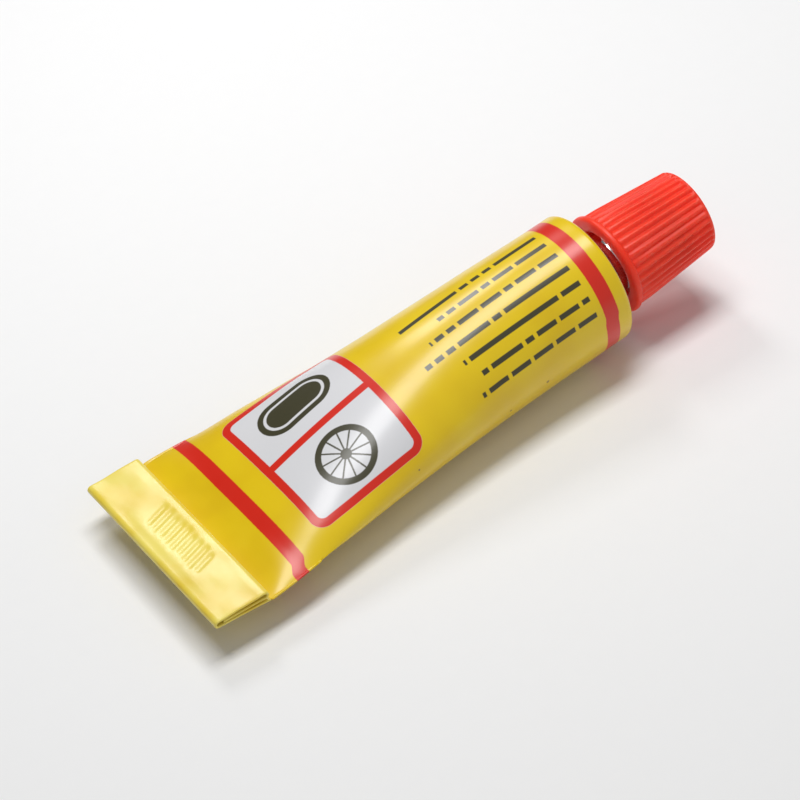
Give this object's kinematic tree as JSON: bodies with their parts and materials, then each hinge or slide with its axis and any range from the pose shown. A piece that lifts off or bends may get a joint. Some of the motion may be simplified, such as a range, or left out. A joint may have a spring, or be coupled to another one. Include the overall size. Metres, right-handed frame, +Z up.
{
  "type": "rubber cement tube",
  "caption": "Collapsible aluminium squeeze tube for rubber cement, with a double-folded flat tail, a sealed threaded nozzle and a ribbed screw cap with a piercing spike.",
  "frame": {"origin": "middle of the tube's box, on the surface that the belly lies on", "axes": "+X along the tube towards the cap, which points 5.5 degrees upwards, +Y across the tail fold, +Z up"},
  "size_m": [0.0627, 0.0222, 0.0141],
  "materials": {
    "yellow_enamel": "gloss yellow enamel on aluminium, printed with two red bands",
    "bare_aluminium": "bright bare aluminium",
    "latex": "dried sealing compound",
    "cement": "thick amber rubber solution",
    "wad": "white foamed polyethylene",
    "red_plastic": "satin moulded red plastic"
  },
  "bodies": {
    "tube": {"tube_sleeve": "yellow_enamel", "tube_shoulder": "bare_aluminium", "nozzle_membrane": "bare_aluminium", "tail_fold": "yellow_enamel", "end_seal": "latex", "cement": "cement"},
    "liner": {"cap_liner": "wad"},
    "cap": {"screw_cap": "red_plastic"}
  },
  "joints": [
    {"name": "cap_lift", "type": "slide", "parent": "tube", "child": "liner", "axis": [0.9954, 0, 0.0956], "range_m": [0, 0.00688]},
    {"name": "cap_turn", "type": "hinge", "parent": "liner", "child": "cap", "pos_m": [0.01871, 0, 0.0074], "axis": [0.9954, 0, 0.0956], "range_deg": [0, 1980]}
  ],
  "couplings": [
    {"joint": "cap_turn", "follows": "cap_lift", "rad_per_m": 5026.5}
  ]
}
